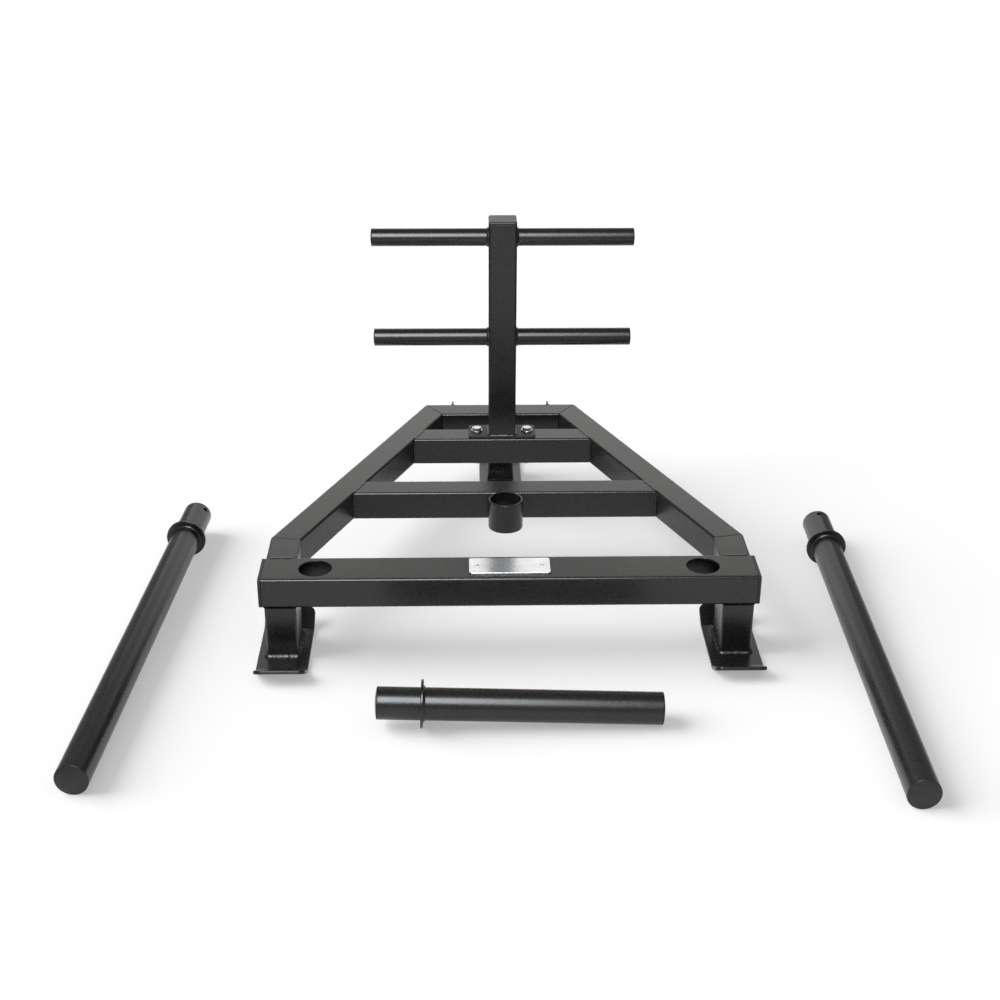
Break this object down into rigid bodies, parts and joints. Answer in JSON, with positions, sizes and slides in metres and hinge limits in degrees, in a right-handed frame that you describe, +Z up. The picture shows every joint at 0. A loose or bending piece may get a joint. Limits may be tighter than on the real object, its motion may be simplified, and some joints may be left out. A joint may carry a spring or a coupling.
{
  "type": "push sled",
  "caption": "Training sled: low welded tube frame on upturned skids, bolted upright with side grips, and loose push handles and weight post lying beside it.",
  "frame": {"origin": "middle of the nose skid's flat sole, on the floor", "axes": "+Y the way the sled is pushed, from the push bar to the nose; +X to its right; +Z up"},
  "size_m": [1.263, 1.2148, 0.5645],
  "materials": {
    "black_coat": "satin black powder coat",
    "black_plastic": "matte black",
    "zinc_plate": "bright zinc plating",
    "bare_steel": "fine brushed"
  },
  "bodies": {
    "sled": {"push_bar": "black_coat", "push_bar_cap_left": "black_plastic", "push_bar_cap_right": "black_plastic", "bare_plate": "bare_steel", "plate_rivet_left": "bare_steel", "plate_rivet_right": "bare_steel", "side_stub_left": "black_coat", "side_rail_left": "black_coat", "side_stub_right": "black_coat", "side_rail_right": "black_coat", "nose_bar": "black_coat", "socket_bar": "black_coat", "post_bar": "black_coat", "post_socket": "black_coat", "leg_left": "black_coat", "skid_left": "black_coat", "leg_right": "black_coat", "skid_right": "black_coat", "leg_nose": "black_coat", "skid_nose": "black_coat", "tow_tab_left": "black_coat", "tow_tab_right": "black_coat", "upright_base_plate": "black_coat", "upright": "black_coat", "upright_cap": "black_plastic", "base_bolt_left": "zinc_plate", "top_washer_left": "zinc_plate", "lower_washer_left": "zinc_plate", "base_nut_left": "zinc_plate", "base_bolt_right": "zinc_plate", "top_washer_right": "zinc_plate", "lower_washer_right": "zinc_plate", "base_nut_right": "zinc_plate", "upper_grip_left": "black_coat", "upper_grip_cap_left": "black_plastic", "upper_grip_right": "black_coat", "upper_grip_cap_right": "black_plastic", "lower_grip_left": "black_coat", "lower_grip_cap_left": "black_plastic", "lower_grip_right": "black_coat", "lower_grip_cap_right": "black_plastic"},
    "left_handle": {"left_handle_tube": "black_coat", "left_handle_collar": "black_coat", "left_handle_outer_cap": "black_plastic", "left_handle_tip_plug": "black_plastic"},
    "right_handle": {"right_handle_tube": "black_coat", "right_handle_collar": "black_coat", "right_handle_outer_cap": "black_plastic", "right_handle_tip_plug": "black_plastic"},
    "weight_post": {"weight_post_tube": "black_coat", "weight_post_collar": "black_coat", "weight_post_outer_cap": "black_plastic", "weight_post_inner_cap": "black_plastic"}
  },
  "joints": [
    {"name": "left_handle_lift", "type": "slide", "parent": "sled", "child": "left_handle", "axis": [0, 0, 1], "range_m": [0, 0.6]},
    {"name": "right_handle_lift", "type": "slide", "parent": "sled", "child": "right_handle", "axis": [0, 0, 1], "range_m": [0, 0.6]},
    {"name": "weight_post_lift", "type": "slide", "parent": "sled", "child": "weight_post", "axis": [0, 0, 1], "range_m": [0, 0.6]}
  ]
}
